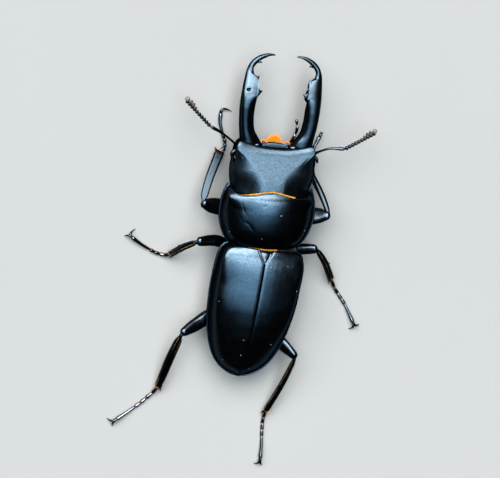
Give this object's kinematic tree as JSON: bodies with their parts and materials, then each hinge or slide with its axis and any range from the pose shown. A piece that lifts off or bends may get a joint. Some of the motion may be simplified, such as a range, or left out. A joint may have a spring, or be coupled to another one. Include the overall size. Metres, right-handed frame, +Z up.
{
  "type": "stag beetle",
  "caption": "Life-size male stag beetle standing on its feet with long toothed mandibles open, elbowed feelers and smooth black wing cases.",
  "frame": {"origin": "centre of the part's box in plan, on the ground under the feet", "axes": "+X to the beetle's right, +Y forward along the body to the mandible tips, +Z up"},
  "size_m": [0.0412, 0.0698, 0.0094],
  "materials": {
    "shell": "smooth satin-gloss black cuticle with a cool sheen",
    "limbs": "gloss black cuticle with fine ridges",
    "joints": "satin dark brown-black",
    "eyes": "polished black",
    "brush": "orange-gold bristles"
  },
  "bodies": {
    "root": {"pronotum": "shell", "prosternum": "shell", "head": "shell", "mentum": "shell", "mandible_left": "shell", "mandible_right": "shell", "elytron_left": "shell", "elytron_right": "shell", "scutellum": "shell", "metasternum": "shell", "abdomen": "shell", "eye_left": "eyes", "eye_right": "eyes", "labrum": "brush", "palp_left": "limbs", "palp_right": "limbs", "scape_left": "limbs", "scape_right": "limbs", "flagellum_left": "limbs", "flagellum_right": "limbs", "coxa_fore_left": "joints", "femur_fore_left": "limbs", "tibia_fore_left": "limbs", "foot_fore_left": "limbs", "claws_fore_left": "limbs", "coxa_fore_right": "joints", "femur_fore_right": "limbs", "tibia_fore_right": "limbs", "foot_fore_right": "limbs", "claws_fore_right": "limbs", "coxa_mid_left": "joints", "femur_mid_left": "limbs", "tibia_mid_left": "limbs", "foot_mid_left": "limbs", "claws_mid_left": "limbs", "coxa_mid_right": "joints", "femur_mid_right": "limbs", "tibia_mid_right": "limbs", "foot_mid_right": "limbs", "claws_mid_right": "limbs", "coxa_hind_left": "joints", "femur_hind_left": "limbs", "tibia_hind_left": "limbs", "foot_hind_left": "limbs", "claws_hind_left": "limbs", "coxa_hind_right": "joints", "femur_hind_right": "limbs", "tibia_hind_right": "limbs", "foot_hind_right": "limbs", "claws_hind_right": "limbs"}
  },
  "joints": []
}
